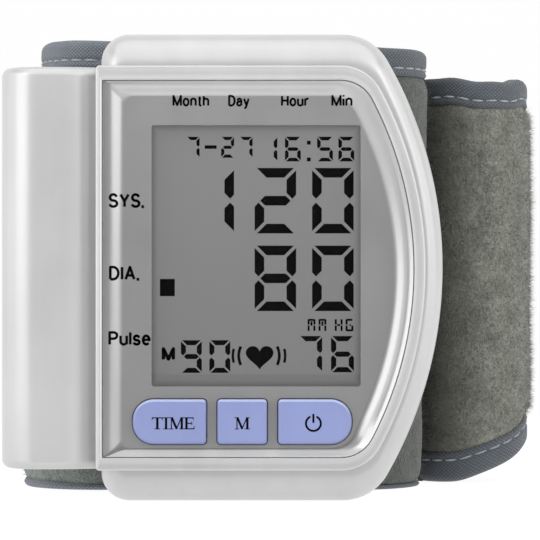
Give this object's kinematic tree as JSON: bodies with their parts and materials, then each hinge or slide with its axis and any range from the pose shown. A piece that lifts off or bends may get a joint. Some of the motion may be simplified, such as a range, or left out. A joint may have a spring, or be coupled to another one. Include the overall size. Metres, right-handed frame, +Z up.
{
  "type": "wrist blood pressure monitor",
  "caption": "Wrist blood pressure monitor: a compact case with a display, push buttons and a pull-off battery cover, on a stiff fabric cuff closed by a loose strap.",
  "frame": {"origin": "on the floor under the middle of the whole object, cuff included", "axes": "+Z up along the wrist, -Y out of the display, +X to the right of someone facing the display"},
  "size_m": [0.0864, 0.0814, 0.0734],
  "materials": {
    "case_grey": "satin light grey moulding",
    "panel_grey": "satin mid grey",
    "button_blue": "satin lavender blue",
    "clear_lens": "clear and polished",
    "lcd_glass": "grey display glass",
    "white_plastic": "natural white",
    "black_plastic": "matt black",
    "board_green": "solder-masked board",
    "steel": "plated steel",
    "cell_wrap": "metallic wrap",
    "spring_steel": "bright nickel plate",
    "black_rubber": "matt black rubber",
    "silicone": "translucent silicone",
    "plush_cloth": "short brushed loop pile",
    "lining_cloth": "smooth knit",
    "binding_tape": "woven tape with a row of stitches"
  },
  "bodies": {
    "monitor": {"front_housing": "case_grey", "rear_housing": "case_grey", "display_bezel": "case_grey", "battery_tray": "case_grey", "face_panel": "panel_grey", "display_lens": "clear_lens", "lcd_glass": "lcd_glass", "lcd_frame": "white_plastic", "air_manifold": "white_plastic", "cuff_nozzle": "white_plastic", "cuff_stay": "white_plastic", "time_switch": "black_plastic", "memory_switch": "black_plastic", "power_switch": "black_plastic", "controller_chip": "black_plastic", "buzzer": "black_plastic", "pump_head": "black_plastic", "pressure_sensor": "black_plastic", "cuff_mount_plate": "black_plastic", "main_board": "board_green", "housing_screw_lower_left": "steel", "housing_screw_lower_right": "steel", "housing_screw_upper_left": "steel", "housing_screw_upper_right": "steel", "pump_motor": "steel", "release_valve": "steel", "front_cell": "cell_wrap", "rear_cell": "cell_wrap", "front_cell_spring": "spring_steel", "rear_cell_spring": "spring_steel", "front_cell_contact": "spring_steel", "rear_cell_contact": "spring_steel", "zebra_strip_lower": "black_rubber", "zebra_strip_upper": "black_rubber", "pump_cradle": "black_rubber", "pump_hose": "silicone", "valve_hose": "silicone", "sensor_hose": "silicone", "cuff_bladder": "silicone", "cuff_cover": "plush_cloth", "cuff_lining": "lining_cloth", "cuff_binding_lower": "binding_tape", "cuff_binding_upper": "binding_tape", "cuff_binding_tip": "binding_tape"},
    "time_button": {"time_button": "button_blue"},
    "memory_button": {"memory_button": "button_blue"},
    "power_button": {"power_button": "button_blue"},
    "battery_cover": {"battery_cover": "case_grey"},
    "cuff_strap": {"strap_hook_patch": "black_plastic", "strap_cover": "plush_cloth", "strap_lining": "lining_cloth", "strap_binding_lower": "binding_tape", "strap_binding_upper": "binding_tape", "strap_binding_tip": "binding_tape"}
  },
  "joints": [
    {"name": "time_press", "type": "slide", "parent": "monitor", "child": "time_button", "axis": [0, 1, 0], "range_m": [0, 0.0006], "stiffness_N_per_m": 500},
    {"name": "memory_press", "type": "slide", "parent": "monitor", "child": "memory_button", "axis": [0, 1, 0], "range_m": [0, 0.0006], "stiffness_N_per_m": 500},
    {"name": "power_press", "type": "slide", "parent": "monitor", "child": "power_button", "axis": [0, 1, 0], "range_m": [0, 0.0006], "stiffness_N_per_m": 500},
    {"name": "battery_cover_slide", "type": "slide", "parent": "monitor", "child": "battery_cover", "axis": [-1, 0, 0], "range_m": [0, 0.018]},
    {"name": "strap_swing", "type": "hinge", "parent": "monitor", "child": "cuff_strap", "pos_m": [-0.03423, 0.02536, 0.0367], "axis": [0, 0, 1], "range_deg": [0, 95]}
  ]
}
